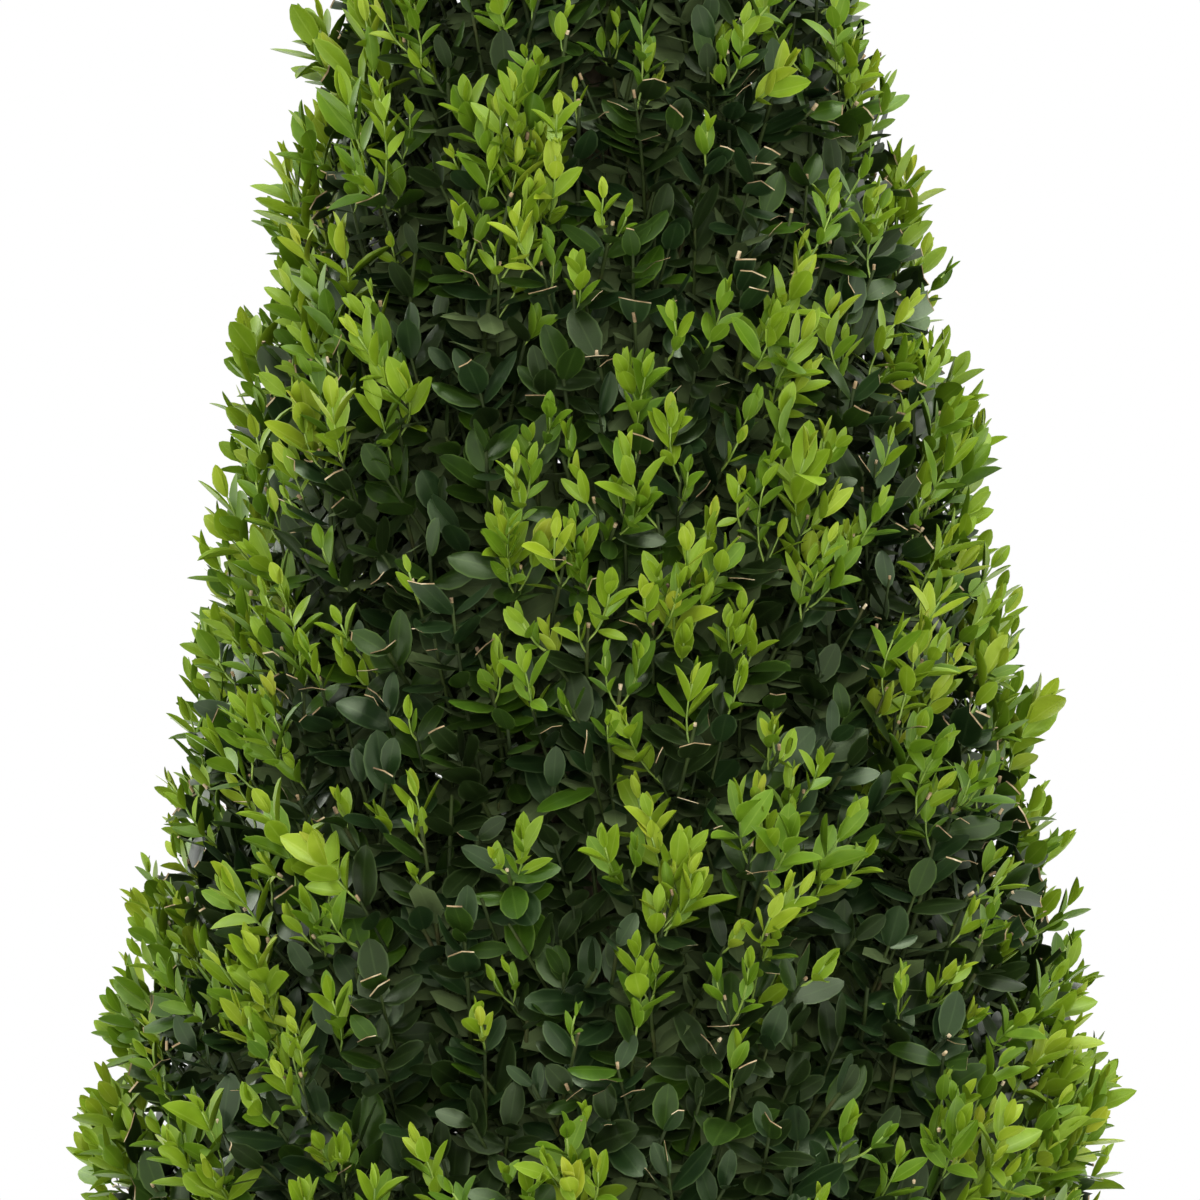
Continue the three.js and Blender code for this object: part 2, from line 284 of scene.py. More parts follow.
def across(v, axis):
    """The part of v that is square to axis, as a unit vector."""
    return unit(v - axis * np.sum(v * axis, axis=-1, keepdims=True))


def bezier(controls, share):
    """Points on Bezier curves. controls is a list of arrays of points, share a
    list of shares of the way; the result has one row of points a curve."""
    order = len(controls) - 1
    share = np.asarray(share, float)[..., None]
    total = 0
    for k, control in enumerate(controls):
        weight = math.comb(order, k) * share**k * (1 - share) ** (order - k)
        total = total + weight * np.asarray(control)[..., None, :]
    return total


def tubes(lines, radii, sides):
    """Round rods of points along lines: rows of points, a radius for each."""
    way = unit(np.gradient(lines, axis=1))
    side = across(np.array([0.31, 0.17, 0.05]), way)
    other = np.cross(way, side)
    turn = 2 * np.pi * np.arange(sides) / sides
    ring = side[:, :, None] * np.cos(turn)[:, None] + other[:, :, None] * np.sin(turn)[:, None]
    return lines[:, :, None] + ring * radii[:, :, None, None]


def joined_tubes(name, lines, radii, sides, material):
    """One mesh of many rods, each closed at its far end."""
    points = tubes(lines, radii, sides)
    count, rings = lines.shape[:2]
    corners, counts = tube_faces(rings, sides)
    offsets = np.arange(count)[:, None] * rings * sides
    all_corners = (corners[None, :] + offsets).ravel()
    return mesh_piece(name, points.reshape(-1, 3), all_corners, np.tile(counts, count), material)


bough_lines = []
bough_radii = []
masses = []
for whorl in whorls:
    for member in range(whorl["count"]):
        bearing = math.radians(whorl["turn"]) + member * 2 * math.pi / whorl["count"]
        tip_z = whorl["low"] + bough_tip_rise * (whorl["high"] - whorl["low"])
        root = stem_centre(whorl["fork"])
        tip = polar(hollow_share * core_radius(tip_z) - bough_tip_back, bearing, tip_z)

        def between(out, up, root=root, tip=tip):
            flat = root + out * (tip - root)
            return np.array([flat[0], flat[1], root[2] + up * (tip[2] - root[2])])

        controls = [root, between(0.36, 0.2), between(0.84, 0.6), tip]
        bough_lines.append(bezier(controls, np.linspace(0, 1, bough_rings)))
        bough_radii.append(whorl["radius"] * np.linspace(1, bough_taper, bough_rings))
        fork_z = whorl["low"] + 0.62 * (whorl["high"] - whorl["low"])
        masses.append(
            dict(
                low=whorl["low"],
                high=whorl["high"],
                bearing=bearing,
                half=math.pi / whorl["count"],
                start=tip,
                onward=unit(tip - controls[2]),
                fork=polar((1 + hollow_share) / 2 * core_radius(fork_z), bearing, fork_z),
                girth=whorl["radius"] * bough_taper,
            )
        )

bough_lines = np.array(bough_lines)
bough_radii = np.array(bough_radii)
bough_points = tubes(bough_lines, bough_radii, bough_sides)
along = np.linspace(0, 110, bough_rings)[None, :, None] + 37 * np.arange(len(masses))[:, None, None]
around = 6.5 * 2 * np.pi * np.arange(bough_sides)[None, None, :] / bough_sides
depth = 0.55 * bark_relief * (1 - relief(along, around, 4))
bough_points = bough_points - depth[..., None] * unit(bough_points - bough_lines[:, :, None])
corners, sides = tube_faces(bough_rings, bough_sides)
offsets = np.arange(len(masses))[:, None] * bough_rings * bough_sides
boughs = mesh_piece(
    "boughs_with_bark",
    bough_points.reshape(-1, 3),
    (corners[None, :] + offsets).ravel(),
    np.tile(sides, len(masses)),
    bark,
)
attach(boughs, "root")
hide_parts(*[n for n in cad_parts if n.startswith("bough_")])

# ---- The branches inside the crown -----------------------------------------------
# Past its bough each limb forks, and thinner branches fan out through the bare
# inside of the crown to where the year-old shoots begin. They keep a thin
# brown bark.

branch_spacing = 74
branch_row_spacing = 64
branch_depth = 30
branch_radius = 2.4
branch_tip_radius = 1.3

dice = np.random.default_rng(21)
top_mass = dict(
    low=top_from,
    high=core_top,
    bearing=0.0,
    half=math.pi,
    start=stem_centre(stem_top),
    onward=np.array([0.0, 0.0, 1.0]),
    fork=np.array([0.0, 0.0, (stem_top + core_top) / 2]),
    girth=stem_tip_radius,
)
masses.append(top_mass)
limb_lines = []
limb_radii = []
branch_controls = [[], [], []]
branch_ends = []
branch_mass = []
for number, mass in enumerate(masses):
    bend = mass["start"] + mass["onward"] * np.linalg.norm(mass["fork"] - mass["start"]) / 2
    limb_lines.append(bezier([mass["start"], bend, mass["fork"]], np.linspace(0, 1, 8)))
    limb_radii.append(mass["girth"] * np.linspace(1, bough_taper, 8))
    rows = round((mass["high"] - mass["low"]) / branch_row_spacing)
    for row in range(rows):
        z = mass["low"] + (mass["high"] - mass["low"]) * (row + 0.5) / rows
        spacing = branch_spacing * slimness(z) ** 1.7
        columns = max(round(2 * mass["half"] * reach(z) / spacing), 1)
        for column in range(columns):
            stagger = 0.25 if row % 2 else -0.25
            share = (column + 0.5 + stagger + 0.14 * dice.uniform(-1, 1)) / columns
            angle = mass["bearing"] + mass["half"] * (2 * share - 1)
            end_z = z - 16 + 9 * dice.uniform(-1, 1)
            distance = max(core_radius(z) - branch_depth * slimness(z), core_least)
            end = polar(distance, angle, end_z)
            fork = mass["fork"]
            bend = (fork + end) / 2 + np.array([0, 0, -10]) + dice.normal(0, 5, 3)
            for part, point in zip(branch_controls, (fork, bend, end)):
                part.append(point)
            branch_ends.append(end)
            branch_mass.append(number)
branch_ends = np.array(branch_ends)
branch_mass = np.array(branch_mass)

# Young bark: thinner and browner than the stem's, with a green cast.
twig_bark, tree, shader = new_material("boxwood_twig_bark")
coords = add_node(tree, "ShaderNodeTexCoord")
mottle = add_node(
    tree, "ShaderNodeTexNoise", [("Vector", coords.outputs["Object"])], scale=420, detail=3
)
tone = add_node(tree, "ShaderNodeValToRGB", [("Fac", mottle.outputs["Fac"])])
set_ramp(tone, (0.35, "#3d3a22"), (0.7, "#6c6442"))
tree.links.new(shader.inputs["Base Color"], tone.outputs["Color"])
shader.inputs["Roughness"].default_value = 0.75

limbs = joined_tubes("limbs_in_the_masses", np.array(limb_lines), np.array(limb_radii), 10, twig_bark)
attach(limbs, "root")
branch_lines = bezier([np.array(p) for p in branch_controls], np.linspace(0, 1, 8))
girth = np.linspace(branch_radius, branch_tip_radius, 8)[None, :].repeat(len(branch_ends), axis=0)
branches = joined_tubes("inner_branches", branch_lines, girth, 6, twig_bark)
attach(branches, "root")

# ---- The year-old shoots -----------------------------------------------------------
# Thin, stiff, upright shoots, green with a ribbed skin, standing out of the
# crown all round. Those that reached the cone's face were cut off there by the
# shears and end in a pale, dry stub. The shorter ones end in a pair of leaves.

shoot_spacing = 20.5
shoot_row_spacing = 17.5
growth_allowance = 19
upright_length = 78
shoot_rings = 7
shoot_radius = 1.2
shoot_tip_radius = 0.64
stub_length = 1.8
deepest_cut = 5.5

# Growth comes thick in upright drifts of one to four places, most of all on the
# two flanks. Between them the crown has furrows, deep and dark, where the shoots
# stop short, most of all on the two faces; the old leaves there are also painted
# darker, as painted shade. Each drift and furrow is a column of places; flank and
# face are how likely one is there.
thick_drifts = dict(places=204, longest=4, step=23, apart=33, flank=1.0, face=0.6)
dark_furrows = dict(places=147, longest=4, step=27, apart=25, flank=0.12, face=1.0)
dark_place_depth = 16
dark_place_width = 16


def shear(z):
    """The radius at which the shears went over the crown."""
    return np.maximum(reach(z) - growth_allowance * slimness(z), 3.0)


dice = np.random.default_rng(17)
shoot_angle = []
shoot_z = []
z = foot_height + 16
row = 0
while z < tip_height - 22:
    size = slimness(z) ** 0.5
    columns = max(round(2 * math.pi * shear(z) / (shoot_spacing * size)), 4)
    places = np.arange(columns) + 0.5 * (row % 2) + dice.uniform(-0.34, 0.34, columns)
    shoot_angle.append(2 * math.pi * places / columns)
    shoot_z.append(z + dice.uniform(-0.42, 0.42, columns) * shoot_row_spacing)
    z += shoot_row_spacing * size
    row += 1
shoot_angle = np.concatenate(shoot_angle)
shoot_z = np.clip(np.concatenate(shoot_z), foot_height + 10, tip_height - 24)

def columns_of_places(rule, taken):
    """Bearings and heights on the crown's face, in upright columns that keep
    clear of one another and of the places taken."""
    found = []
    for _ in range(9000):
        turn, height = dice.uniform(-math.pi, math.pi), dice.uniform(50, 1000)
        chance = rule["flank"] + (rule["face"] - rule["flank"]) * math.sin(turn) ** 4
        if dice.uniform(0, 1) > chance * reach(height) / reach_at_widest:
            continue
        others = [polar(shear(z), other, z) for other, z in found + taken]
        for _ in range(dice.integers(1, rule["longest"] + 1)):
            place = polar(shear(height), turn, height)
            room = min([np.linalg.norm(place - other) for other in others] + [1000])
            if room < rule["apart"] or height > 1000 or len(found) == rule["places"]:
                break
            found.append((turn, height))
            turn += dice.normal(0, 5) / shear(height)
            height += rule["step"] * dice.uniform(0.8, 1.2)
        if len(found) == rule["places"]:
            break
    return found


thick = columns_of_places(thick_drifts, [])
dark = columns_of_places(dark_furrows, thick)
shoot_strength = np.zeros(len(shoot_z))
for turn, height in thick:
    apart = np.hypot(
        (np.mod(shoot_angle - turn + np.pi, 2 * np.pi) - np.pi) * shear(height), shoot_z - height
    )
    own = np.argmin(np.where(shoot_strength == 10, 1e9, apart))
    shoot_angle[own], shoot_z[own] = turn, height
    shoot_strength += dice.uniform(0.36, 0.8) * np.exp(-((apart / 19) ** 2))
    shoot_strength[own] = 10
shoot_count = len(shoot_z)
shoot_cut_depth = dice.gamma(2.2, 2.6, shoot_count)
shoot_cut_depth[shoot_strength == 10] *= 0.4
shoot_darkness = np.zeros(shoot_count)
for turn, height in dark:
    apart = np.hypot(
        (np.mod(shoot_angle - turn + np.pi, 2 * np.pi) - np.pi) * shear(height), shoot_z - height
    )
    shoot_darkness = np.maximum(shoot_darkness, np.exp(-((apart / dark_place_width) ** 2)))
shoot_darkness[shoot_strength == 10] = 0
shoot_cut_depth += dark_place_depth * shoot_darkness * slimness(shoot_z)
shoot_tip = polar(shear(shoot_z) - shoot_cut_depth, shoot_angle, shoot_z)
outward = polar(1, shoot_angle, 0 * shoot_z)
sideways = polar(1, shoot_angle + np.pi / 2, 0 * shoot_z)
lean = 0.8 * lean_at(shoot_z) + dice.normal(0, 0.19, shoot_count)
shoot_way = (
    outward * np.sin(lean)[:, None]
    + np.array([0, 0, 1]) * np.cos(lean)[:, None]
    + sideways * dice.normal(0, 0.21, shoot_count)[:, None]
)
shoot_way = unit(shoot_way)
shoot_size = slimness(shoot_z) ** 0.5
base = shoot_tip - shoot_way * (upright_length * shoot_size)[:, None]
base = base + dice.normal(0, 6, (shoot_count, 3)) * shoot_size[:, None]
base[:, 2] = np.maximum(base[:, 2], foot_height + 8)
gap = np.linalg.norm(branch_ends[None, :, :] - base[:, None, :], axis=2)
nearest = np.argmin(gap, axis=1)
shoot_controls = [branch_ends[nearest], base, shoot_tip]
shoot_share = 1 - np.linspace(1, 0, shoot_rings) ** 1.3
shoot_lines = bezier(shoot_controls, shoot_share)
shoot_radii = np.linspace(shoot_radius, shoot_tip_radius, shoot_rings)[None, :]
shoot_radii = shoot_radii * dice.uniform(0.8, 1.2, shoot_count)[:, None]

# Skin of a boxwood shoot: olive green, waxy, with brown patches where it starts
# to turn to bark.
shoot_skin, tree, shader = new_material("green_boxwood_shoot")
coords = add_node(tree, "ShaderNodeTexCoord")
patches = add_node(
    tree, "ShaderNodeTexNoise", [("Vector", coords.outputs["Object"])], scale=55, detail=4
)
tone = add_node(tree, "ShaderNodeValToRGB", [("Fac", patches.outputs["Fac"])])
set_ramp(tone, (0.35, "#222d14"), (0.6, "#323f19"), (0.78, "#3f3820"))
tree.links.new(shader.inputs["Base Color"], tone.outputs["Color"])
shader.inputs["Roughness"].default_value = 0.65
shader.inputs["Specular IOR Level"].default_value = 0.15

shoots = joined_tubes("year_old_shoots", shoot_lines, shoot_radii, 5, shoot_skin)
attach(shoots, "root")

# The cut itself: dry wood, pale tan, slightly thicker than the shoot below it.
dry_cut, tree, shader = new_material("dry_cut_wood")
coords = add_node(tree, "ShaderNodeTexCoord")
grain = add_node(
    tree, "ShaderNodeTexNoise", [("Vector", coords.outputs["Object"])], scale=130, detail=5
)
tone = add_node(tree, "ShaderNodeValToRGB", [("Fac", grain.outputs["Fac"])])
set_ramp(tone, (0.32, "#5c4a33"), (0.5, "#9a835e"), (0.68, "#cfbf9c"))
tree.links.new(shader.inputs["Base Color"], tone.outputs["Color"])
shader.inputs["Roughness"].default_value = 0.8

was_cut = (shoot_cut_depth < deepest_cut) | (shoot_strength == 10)
cut_count = was_cut.sum()
stub_start = (shoot_tip - shoot_way * 0.4)[was_cut]
stub_tilt = shoot_way[was_cut] + dice.normal(0, 0.25, (cut_count, 3))
stub_end = shoot_tip[was_cut] + stub_tilt * (stub_length * dice.uniform(0.4, 1.4, (cut_count, 1)))
stub_lines = np.stack([stub_start, (stub_start + stub_end) / 2, stub_end], axis=1)
stub_radii = shoot_radii[was_cut, -1:] * dice.uniform(0.95, 1.2, (cut_count, 3))
stubs = joined_tubes("cut_shoot_ends", stub_lines, stub_radii, 5, dry_cut)
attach(stubs, "root")

# ---- The new growth ----------------------------------------------------------------
# Since the clipping, buds just below the cuts have grown into soft, lime-green
# sprigs, 10 to 40 mm long. Each bears two to five pairs of leaves, each pair
# square to the last, and the topmost pair is still closed round the bud.

sprig_rings = 5
sprig_radius = 0.62
sprig_tip_radius = 0.4
new_leaf_length = 15.3
new_leaf_width = 7.1
most_pairs = 5

# Rows of a leaf from foot to tip: share of its length, share of its width.
new_outline = [(0.1, 0.4), (0.3, 0.86), (0.53, 1.0), (0.76, 0.76), (0.92, 0.38)]


def leaf_template(outline, tip_is_cut=False):
    """Faces and UV of one leaf: the foot point, three points a row (left edge,
    midrib, right edge), and a tip point unless the tip is cut off."""
    rows = len(outline)
    corners = [[0, 2, 1], [0, 3, 2]]
    for row in range(rows - 1):
        a, b = 1 + 3 * row, 4 + 3 * row
        corners += [[a, a + 1, b + 1, b], [a + 1, a + 2, b + 2, b + 1]]
    last = 1 + 3 * (rows - 1)
    uv = [(0.5, 0.0)]
    for share, _ in outline:
        uv += [(0.0, share), (0.5, share), (1.0, share)]
    if not tip_is_cut:
        corners += [[last, last + 1, last + 3], [last + 1, last + 2, last + 3]]
        uv.append((0.5, 1.0))
    return corners, np.array(uv)


def outline_width(share):
    """Half width of an oval leaf as a share of its widest."""
    return np.sin(np.pi * np.clip(share, 0, 1) ** 0.95) ** 0.6


def point_on(leaves, share, half):
    """A point of each leaf: share of the way to its tip, half width across."""
    lift = leaves["curl"] * leaves["length"] * share**2
    lift = lift + np.abs(half) * leaves["width"] / 2 * np.sin(leaves["fold"])
    out = half * leaves["width"] / 2 * np.cos(leaves["fold"])
    side = np.cross(leaves["face"], leaves["blade"])
    along = leaves["blade"] * (leaves["length"] * share)[:, None]
    return leaves["foot"] + along + side * out[:, None] + leaves["face"] * lift[:, None]


def leaf_points(leaves, outline, tip_is_cut=False):
    points = [leaves["foot"]]
    for share, half in outline:
        for edge, place in ((-1, "left"), (0, "middle"), (1, "right")):
            if tip_is_cut:
                share_here = share * leaves[place]
                points.append(point_on(leaves, share_here, edge * outline_width(share_here)))
            else:
                points.append(point_on(leaves, share, edge * half))
    if not tip_is_cut:
        points.append(point_on(leaves, 1.0, 0.0))
    return np.stack(points, axis=1)


def joined_leaves(name, leaves, outline, material, tip_is_cut=False):
    corners, uv = leaf_template(outline, tip_is_cut)
    points = leaf_points(leaves, outline, tip_is_cut)
    count, each = points.shape[:2]
    flat = np.concatenate([np.array(c) for c in corners])
    counts = np.array([len(c) for c in corners])
    offsets = np.arange(count)[:, None] * each
    piece = mesh_piece(
        name,
        points.reshape(-1, 3),
        (flat[None, :] + offsets).ravel(),
        np.tile(counts, count),
        material,
        uv=np.tile(uv, (count, 1)),
    )
    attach(piece, "root")
    return piece


def chosen(leaves, which):
    return {key: values[which] for key, values in leaves.items()}


def put_together(parts):
    return {key: np.concatenate([part[key] for part in parts]) for key in parts[0]}


def grow_pairs(place, way, outward, turn, spread, dice, roll, wander=0.1):
    """Foot, blade and face of a pair of leaves at each place. turn is the turn
    round the shoot, spread the angle off it, roll how far a face looks out."""
    level = across(outward, way)
    tangent = np.cross(way, level)
    found = []
    for side in (0, np.pi):
        angle = (turn + side)[:, None]
        away = level * np.cos(angle) + tangent * np.sin(angle)
        wide = spread[:, None] * dice.uniform(0.8, 1.2, (len(turn), 1))
        blade = unit(way * np.cos(wide) + away * np.sin(wide) + dice.normal(0, wander, away.shape))
        upper = across(way, blade)
        looking_out = across(outward + np.array([0, 0, 0.5]), blade)
        sign = np.where(np.sum(looking_out * upper, axis=1, keepdims=True) < 0, -1, 1)
        share = roll * dice.uniform(0.4, 1.3, (len(turn), 1))
        face = unit(upper * (1 - share) + looking_out * sign * share)
        face = across(face + dice.normal(0, 0.12, face.shape), blade)
        found.append((place, blade, face))
    return [np.concatenate(parts) for parts in zip(*found)]


def on_curves(controls, share):
    """Points and directions on curves of three controls, at a share of each."""
    a, b, c = controls
    s = share[:, None]
    return a * (1 - s) ** 2 + 2 * b * s * (1 - s) + c * s**2, unit((b - a) * (1 - s) + (c - b) * s)


dice = np.random.default_rng(13)
first_turn = dice.uniform(0, 2 * np.pi, shoot_count)
in_thick_place = shoot_strength == 10
bears = dice.uniform(0, 1, shoot_count) < 0.52 + 1.2 * shoot_strength - 0.85 * shoot_darkness
sprigs_each = np.where(bears, dice.choice([1, 2, 3], shoot_count, p=[0.4, 0.45, 0.15]), 0)
sprigs_each = np.where(in_thick_place, dice.choice([3, 4], shoot_count), sprigs_each)
thickness = np.where(in_thick_place, 1.0, np.clip(shoot_strength, 0, 1))
sprig_shoot = np.repeat(np.arange(shoot_count), sprigs_each)
sprig_order = np.concatenate([np.arange(n) for n in sprigs_each])
sprig_count = len(sprig_shoot)
size = shoot_size[sprig_shoot]
back = 1.5 + dice.uniform(0, 8, sprig_count) + 5.5 * sprig_order
share = 1 - back / (2 * upright_length * size)
sprig_foot, way = on_curves([control[sprig_shoot] for control in shoot_controls], share)
sprig_out = outward[sprig_shoot]
turn = first_turn[sprig_shoot] + sprig_order * np.pi + dice.normal(0, 0.5, sprig_count)
level = across(sprig_out, way)
away = level * np.cos(turn)[:, None] + np.cross(way, level) * np.sin(turn)[:, None]
length = np.clip(dice.gamma(5, 3.9, sprig_count), 6, 38) * size
length = length * (0.95 + 0.4 * thickness[sprig_shoot])
upward = unit(way + 0.25 * np.array([0, 0, 1]) + 0.12 * sprig_out + dice.normal(0, 0.1, way.shape))
bend = sprig_foot + unit(way + 0.9 * away) * (0.4 * length)[:, None]
sprig_tip = bend + upward * (0.62 * length)[:, None]
over = np.hypot(sprig_tip[:, 0], sprig_tip[:, 1]) - reach(sprig_tip[:, 2]) + 8.5
shrink = np.clip(1 - np.maximum(over, 0) / (length * 0.8), 0.35, 1)[:, None]
bend = sprig_foot + (bend - sprig_foot) * shrink
sprig_tip = sprig_foot + (sprig_tip - sprig_foot) * shrink
length = length * shrink[:, 0]
sprig_controls = [sprig_foot, bend, sprig_tip]
sprig_lines = bezier(sprig_controls, np.linspace(0, 1, sprig_rings))
sprig_radii = np.linspace(sprig_radius, sprig_tip_radius, sprig_rings)[None, :]
sprig_radii = sprig_radii.repeat(sprig_count, axis=0)

pair_count = np.clip(np.round(length / 6.6).astype(int), 2, most_pairs)
vigour = dice.uniform(0.78, 1.2, sprig_count) * (0.68 + 0.32 * np.clip(length / 21, 0, 1.2))
vigour *= 0.95 + 0.2 * thickness[sprig_shoot]
breadth = dice.uniform(0.8, 1.2, sprig_count)
turn_of_first = dice.uniform(0, np.pi, sprig_count)
parts = []
for pair in range(most_pairs):
    has = pair < pair_count
    below_top = (pair_count - 1 - pair)[has]
    share = 0.98 - 0.8 * below_top / np.maximum(pair_count[has] - 0.5, 1)
    turn = turn_of_first[has] + pair * np.pi / 2 + dice.normal(0, 0.15, has.sum())
    opening = np.select([below_top == 0, below_top == 1], [13, 31], 47)
    spread = np.radians(opening * dice.uniform(0.75, 1.3, has.sum()))
    place, way = on_curves([control[has] for control in sprig_controls], share)
    foot, blade, face = grow_pairs(place, way, sprig_out[has], turn, spread, dice, 0.25)
    count = len(foot)
    profile = np.select([below_top == 0, below_top == 1], [0.66, 0.95], 1.0)
    profile = np.where((pair == 0) & (below_top > 1), 0.72, profile)
    leaf_size = np.tile(profile * vigour[has] * size[has], 2) * dice.uniform(0.85, 1.12, count)
    broad = np.tile(breadth[has], 2) * dice.uniform(0.9, 1.1, count)
    parts.append(
        dict(
            foot=foot,
            blade=blade,
            face=face,
            length=new_leaf_length * leaf_size,
            width=new_leaf_width * leaf_size * broad,
            fold=np.radians(dice.normal(25, 10, count)),
            curl=dice.normal(0.04, 0.09, count),
            sprig=np.tile(np.flatnonzero(has), 2),
            below_top=np.tile(below_top, 2),
        )
    )
new = put_together(parts)

# Skin of a new sprig: pale, juicy green.
sprig_skin, tree, shader = new_material("green_sprig_stalk")
coords = add_node(tree, "ShaderNodeTexCoord")
patches = add_node(
    tree, "ShaderNodeTexNoise", [("Vector", coords.outputs["Object"])], scale=120, detail=2
)
tone = add_node(tree, "ShaderNodeValToRGB", [("Fac", patches.outputs["Fac"])])
set_ramp(tone, (0.35, "#6d8a35"), (0.7, "#93ab4a"))
tree.links.new(shader.inputs["Base Color"], tone.outputs["Color"])
shader.inputs["Roughness"].default_value = 0.5
sprig_stalks = joined_tubes("sprig_stalks", sprig_lines, sprig_radii, 3, sprig_skin)
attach(sprig_stalks, "root")


def leaf_material(name, colour, lighter, rib_and_rim_colour, rib_strength, rim_highlight, roughness, gloss):
    """A leaf's skin: a base colour that drifts to a lighter one over a few
    centimetres, a pale midrib, a pale rim along the edge that is a painted
    highlight, and pores that break up the gloss."""
    material, tree, shader = new_material(name)
    coords = add_node(tree, "ShaderNodeTexCoord")
    drift = add_node(
        tree, "ShaderNodeTexNoise", [("Vector", coords.outputs["Object"])], scale=90, detail=3
    )
    tone = add_node(tree, "ShaderNodeValToRGB", [("Fac", drift.outputs["Fac"])])
    set_ramp(tone, (0.32, colour), (0.72, lighter))
    blade_uv = add_node(tree, "ShaderNodeUVMap", uv_map="blade")
    split = add_node(tree, "ShaderNodeSeparateXYZ", [("Vector", blade_uv.outputs["UV"])])
    off_rib = add_node(tree, "ShaderNodeMath", [(0, split.outputs["X"])], operation="SUBTRACT")
    off_rib.inputs[1].default_value = 0.5
    distance = add_node(tree, "ShaderNodeMath", [(0, off_rib.outputs[0])], operation="ABSOLUTE")
    rib_line = add_node(
        tree,
        "ShaderNodeMapRange",
        [("Value", distance.outputs[0])],
        From_Min=0.012,
        From_Max=0.05,
        To_Min=rib_strength,
        To_Max=0.0,
    )
    # The pale rim along the leaf's edge is a painted highlight, where the edge would catch the light.
    rim_highlight_line = add_node(
        tree,
        "ShaderNodeMapRange",
        [("Value", distance.outputs[0])],
        From_Min=0.41,
        From_Max=0.5,
        To_Min=0.0,
        To_Max=rim_highlight,
    )
    lines = add_node(
        tree,
        "ShaderNodeMath",
        [(0, rib_line.outputs["Result"]), (1, rim_highlight_line.outputs["Result"])],
        operation="MAXIMUM",
    )
    with_rib_and_rim_highlight = add_node(
        tree, "ShaderNodeMix", [("Factor", lines.outputs[0])], data_type="RGBA"
    )
    tree.links.new(with_rib_and_rim_highlight.inputs[6], tone.outputs["Color"])
    with_rib_and_rim_highlight.inputs[7].default_value = linear(rib_and_rim_colour)
    tree.links.new(shader.inputs["Base Color"], with_rib_and_rim_highlight.outputs[2])
    pores = add_node(
        tree, "ShaderNodeTexNoise", [("Vector", coords.outputs["Object"])], scale=1400, detail=2
    )
    bump = add_node(
        tree, "ShaderNodeBump", [("Height", pores.outputs["Fac"])], strength=0.12, distance=0.0003
    )
    tree.links.new(shader.inputs["Normal"], bump.outputs["Normal"])
    shader.inputs["Roughness"].default_value = roughness
    shader.inputs["Specular IOR Level"].default_value = gloss
    shader.inputs["Specular Tint"].default_value = linear("#c6dcae")
    return material


# New boxwood leaves are thin, soft and satin rather than waxy: lime green,
# yellower towards the tip of the sprig.
new_leaf_tones = [
    ("hardening", "#3a570d", "#4a6915", "#668132"),
    ("leaf_green", "#4c6b0e", "#5f7d19", "#7d963a"),
    ("fresh", "#637e11", "#76901e", "#90a644"),
    ("lime", "#7a8e1a", "#8da02b", "#a5b352"),
    ("yellowish", "#8a9520", "#9ca531", "#b0b85e"),
]
sprig_tone = dice.normal(1.45, 0.6, sprig_count) + 0.5 * thickness[sprig_shoot]
leaf_tone = sprig_tone[new["sprig"]] + 0.5 * (new["below_top"] == 0) - 0.45 * (new["below_top"] > 1)
leaf_tone = np.clip(np.round(leaf_tone + dice.normal(0, 0.25, len(leaf_tone))), 0, 4).astype(int)
# Each new leaf has a pale midrib and a pale rim, the rim a painted highlight.
for number, (word, colour, lighter, rib_and_rim_colour) in enumerate(new_leaf_tones):
    skin = leaf_material("new_leaf_" + word, colour, lighter, rib_and_rim_colour, 0.3, 0.55, 0.42, 0.5)
    joined_leaves("new_leaves_" + word, chosen(new, leaf_tone == number), new_outline, skin)

# ---- The year-old leaves -----------------------------------------------------------
# Below the cuts the shoots still carry last year's leaves: stiff ovals, 20 to
# 26 mm long, dark green with a waxy gloss above and edges that roll down a
# little. Those that stood past the cone's face were sheared off with the shoots.

pairs_per_shoot = 9
leaf_layers = 2
first_pair = 2.4
pair_spacing = 8.6
old_leaf_length = 22.5
old_leaf_width = 12.0
full_outline = [(0.12, 0.52), (0.34, 0.93), (0.58, 1.0), (0.8, 0.76), (0.94, 0.38)]
plain_outline = [(0.3, 0.92), (0.75, 0.84)]
cut_outline = [(0.2, 0), (0.45, 0), (0.72, 0), (1.0, 0)]

# Where the shears missed a few leaves, as across and height.
stray_places = [(146, 332), (150, 309), (-148, 322)]

